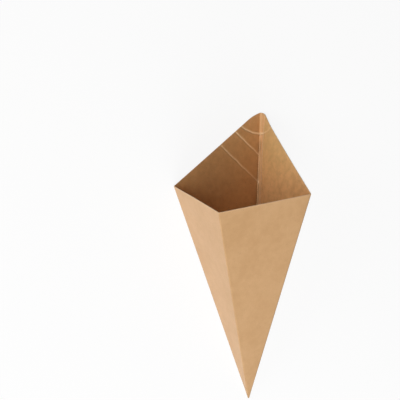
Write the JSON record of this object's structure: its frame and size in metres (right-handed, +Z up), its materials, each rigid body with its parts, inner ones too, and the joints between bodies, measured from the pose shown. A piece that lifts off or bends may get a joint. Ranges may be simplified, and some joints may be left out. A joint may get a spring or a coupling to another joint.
{
  "type": "french fries cone",
  "caption": "Pointed cone with a square mouth, folded from kraft board, with a high rounded back corner and a glue tab inside its back fold. It holds a serving of french fries.",
  "frame": {"origin": "on the table, under the middle of the box that the lying cone fills", "axes": "+Z up out of the table, +Y from the tip to the mouth along the middle of the resting panel, +X to the right of that"},
  "size_m": [0.0926, 0.2536, 0.0817],
  "materials": {
    "kraft_board": "uncoated brown kraft board, matt, with fine fibres and a soft sheen"
  },
  "bodies": {
    "root": {"cone": "kraft_board"}
  },
  "joints": []
}
